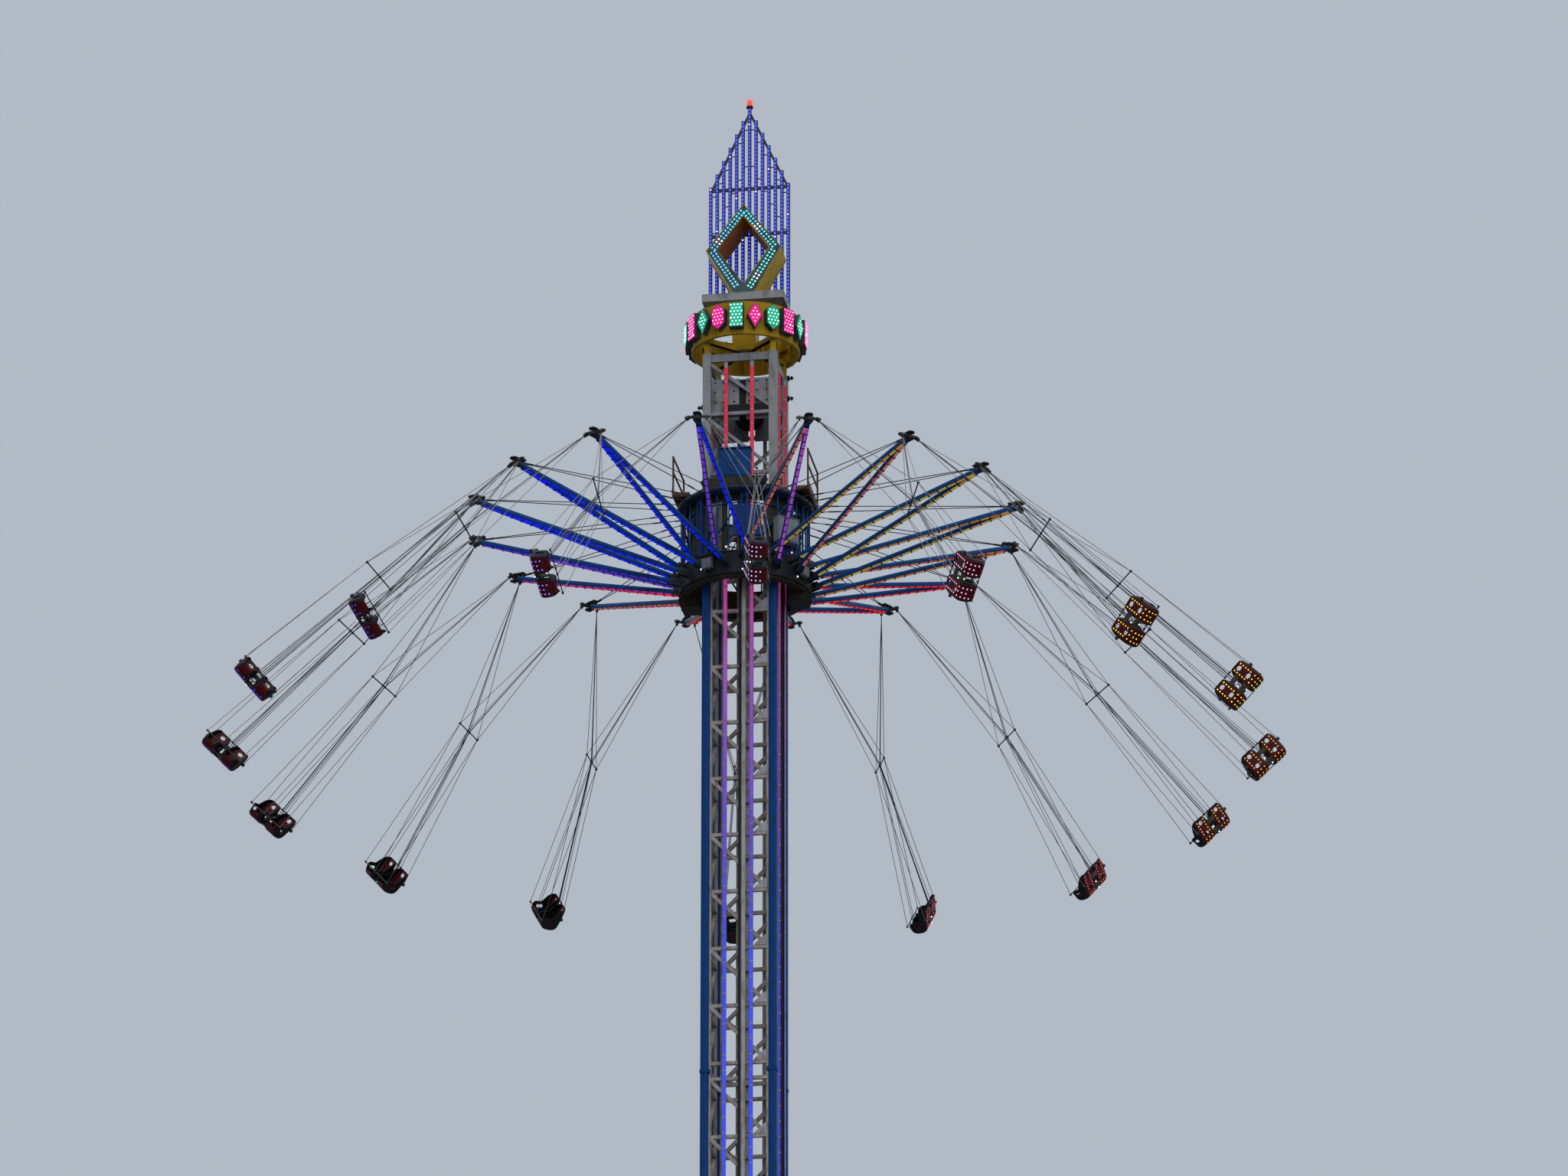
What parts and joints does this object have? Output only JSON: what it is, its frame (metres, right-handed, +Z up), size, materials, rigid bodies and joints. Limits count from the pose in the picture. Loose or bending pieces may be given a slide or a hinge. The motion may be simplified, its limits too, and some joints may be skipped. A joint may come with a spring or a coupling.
{
  "type": "chair swing ride scale model",
  "caption": "One-tenth scale model of a tall chair swing ride: a lattice tower, a lift carriage, a turning ring of arms and double seats hung on cables, with a lit crown.",
  "frame": {"origin": "centre of the tower's base on the ground", "axes": "+Z up the tower, -Y out of the face turned to the viewer, +X to the viewer's right"},
  "size_m": [3.0976, 3.0976, 10.1],
  "materials": {
    "tower_blue": "satin",
    "lattice_steel": "satin",
    "head_grey": "satin",
    "dark_steel": "satin",
    "arm_blue": "satin",
    "channel_brown": "satin",
    "crown_yellow": "satin",
    "beacon_red": "gloss",
    "seat_red": "satin",
    "cabinet_grey": "satin",
    "deck_grey": "matt"
  },
  "bodies": {
    "tower": {"base_frame": "dark_steel", "base_rakers": "tower_blue", "crown_drum": "crown_yellow", "head_frame": "head_grey", "head_sheave_drum": "dark_steel", "loading_deck": "deck_grey", "mast_channel_back": "lattice_steel", "mast_channel_front": "lattice_steel", "mast_channel_left": "channel_brown", "mast_channel_right": "channel_brown", "mast_post_back": "tower_blue", "mast_post_front": "tower_blue", "mast_post_left": "tower_blue", "mast_post_right": "tower_blue", "mast_side_back": "lattice_steel", "mast_side_front": "lattice_steel", "mast_side_left": "lattice_steel", "mast_side_right": "lattice_steel", "topper_beacon": "beacon_red", "topper_diamond": "crown_yellow", "topper_frame": "dark_steel"},
    "carriage": {"carriage_sleeve": "dark_steel", "control_box": "arm_blue", "platform_left": "dark_steel", "platform_right": "dark_steel"},
    "arm_ring": {"arm_01": "arm_blue", "arm_02": "arm_blue", "arm_03": "arm_blue", "arm_04": "arm_blue", "arm_05": "arm_blue", "arm_06": "arm_blue", "arm_07": "arm_blue", "arm_08": "arm_blue", "arm_09": "arm_blue", "arm_10": "arm_blue", "arm_11": "arm_blue", "arm_12": "arm_blue", "arm_13": "arm_blue", "arm_14": "arm_blue", "arm_15": "arm_blue", "arm_16": "arm_blue", "drum_cabinet": "cabinet_grey", "drum_rings": "tower_blue"},
    "seat_unit_01": {"seat_01": "seat_red"},
    "seat_unit_02": {"seat_02": "seat_red"},
    "seat_unit_03": {"seat_03": "seat_red"},
    "seat_unit_04": {"seat_04": "seat_red"},
    "seat_unit_05": {"seat_05": "seat_red"},
    "seat_unit_06": {"seat_06": "seat_red"},
    "seat_unit_07": {"seat_07": "seat_red"},
    "seat_unit_08": {"seat_08": "seat_red"},
    "seat_unit_09": {"seat_09": "seat_red"},
    "seat_unit_10": {"seat_10": "seat_red"},
    "seat_unit_11": {"seat_11": "seat_red"},
    "seat_unit_12": {"seat_12": "seat_red"},
    "seat_unit_13": {"seat_13": "seat_red"},
    "seat_unit_14": {"seat_14": "seat_red"},
    "seat_unit_15": {"seat_15": "seat_red"},
    "seat_unit_16": {"seat_16": "seat_red"}
  },
  "joints": [
    {"name": "carriage_lift", "type": "slide", "parent": "tower", "child": "carriage", "axis": [0, 0, 1], "range_m": [-7.48, 0]},
    {"name": "ring_turn", "type": "hinge", "parent": "carriage", "child": "arm_ring", "pos_m": [0, 0, 8.6], "axis": [0, 0, 1], "continuous": true},
    {"name": "seat_swing_01", "type": "hinge", "parent": "arm_ring", "child": "seat_unit_01", "pos_m": [0.78049, 0.14818, 8.7], "axis": [0.1865, -0.9825, 0], "range_deg": [-49.5, 10]},
    {"name": "seat_swing_02", "type": "hinge", "parent": "arm_ring", "child": "seat_unit_02", "pos_m": [0.66438, 0.43558, 8.7], "axis": [0.5483, -0.8363, 0], "range_deg": [-49.5, 10]},
    {"name": "seat_swing_03", "type": "hinge", "parent": "arm_ring", "child": "seat_unit_03", "pos_m": [0.44711, 0.65667, 8.7], "axis": [0.8266, -0.5628, 0], "range_deg": [-49.5, 10]},
    {"name": "seat_swing_04", "type": "hinge", "parent": "arm_ring", "child": "seat_unit_04", "pos_m": [0.16178, 0.77779, 8.7], "axis": [0.979, -0.2036, 0], "range_deg": [-49.5, 10]},
    {"name": "seat_swing_05", "type": "hinge", "parent": "arm_ring", "child": "seat_unit_05", "pos_m": [-0.14818, 0.78049, 8.7], "axis": [0.9825, 0.1865, 0], "range_deg": [-49.5, 10]},
    {"name": "seat_swing_06", "type": "hinge", "parent": "arm_ring", "child": "seat_unit_06", "pos_m": [-0.43558, 0.66438, 8.7], "axis": [0.8363, 0.5483, 0], "range_deg": [-49.5, 10]},
    {"name": "seat_swing_07", "type": "hinge", "parent": "arm_ring", "child": "seat_unit_07", "pos_m": [-0.65667, 0.44711, 8.7], "axis": [0.5628, 0.8266, 0], "range_deg": [-49.5, 10]},
    {"name": "seat_swing_08", "type": "hinge", "parent": "arm_ring", "child": "seat_unit_08", "pos_m": [-0.77779, 0.16178, 8.7], "axis": [0.2036, 0.979, 0], "range_deg": [-49.5, 10]},
    {"name": "seat_swing_09", "type": "hinge", "parent": "arm_ring", "child": "seat_unit_09", "pos_m": [-0.78049, -0.14818, 8.7], "axis": [-0.1865, 0.9825, 0], "range_deg": [-49.5, 10]},
    {"name": "seat_swing_10", "type": "hinge", "parent": "arm_ring", "child": "seat_unit_10", "pos_m": [-0.66438, -0.43558, 8.7], "axis": [-0.5483, 0.8363, 0], "range_deg": [-49.5, 10]},
    {"name": "seat_swing_11", "type": "hinge", "parent": "arm_ring", "child": "seat_unit_11", "pos_m": [-0.44711, -0.65667, 8.7], "axis": [-0.8266, 0.5628, 0], "range_deg": [-49.5, 10]},
    {"name": "seat_swing_12", "type": "hinge", "parent": "arm_ring", "child": "seat_unit_12", "pos_m": [-0.16178, -0.77779, 8.7], "axis": [-0.979, 0.2036, 0], "range_deg": [-49.5, 10]},
    {"name": "seat_swing_13", "type": "hinge", "parent": "arm_ring", "child": "seat_unit_13", "pos_m": [0.14818, -0.78049, 8.7], "axis": [-0.9825, -0.1865, 0], "range_deg": [-49.5, 10]},
    {"name": "seat_swing_14", "type": "hinge", "parent": "arm_ring", "child": "seat_unit_14", "pos_m": [0.43558, -0.66438, 8.7], "axis": [-0.8363, -0.5483, 0], "range_deg": [-49.5, 10]},
    {"name": "seat_swing_15", "type": "hinge", "parent": "arm_ring", "child": "seat_unit_15", "pos_m": [0.65667, -0.44711, 8.7], "axis": [-0.5628, -0.8266, 0], "range_deg": [-49.5, 10]},
    {"name": "seat_swing_16", "type": "hinge", "parent": "arm_ring", "child": "seat_unit_16", "pos_m": [0.77779, -0.16178, 8.7], "axis": [-0.2036, -0.979, 0], "range_deg": [-49.5, 10]}
  ]
}
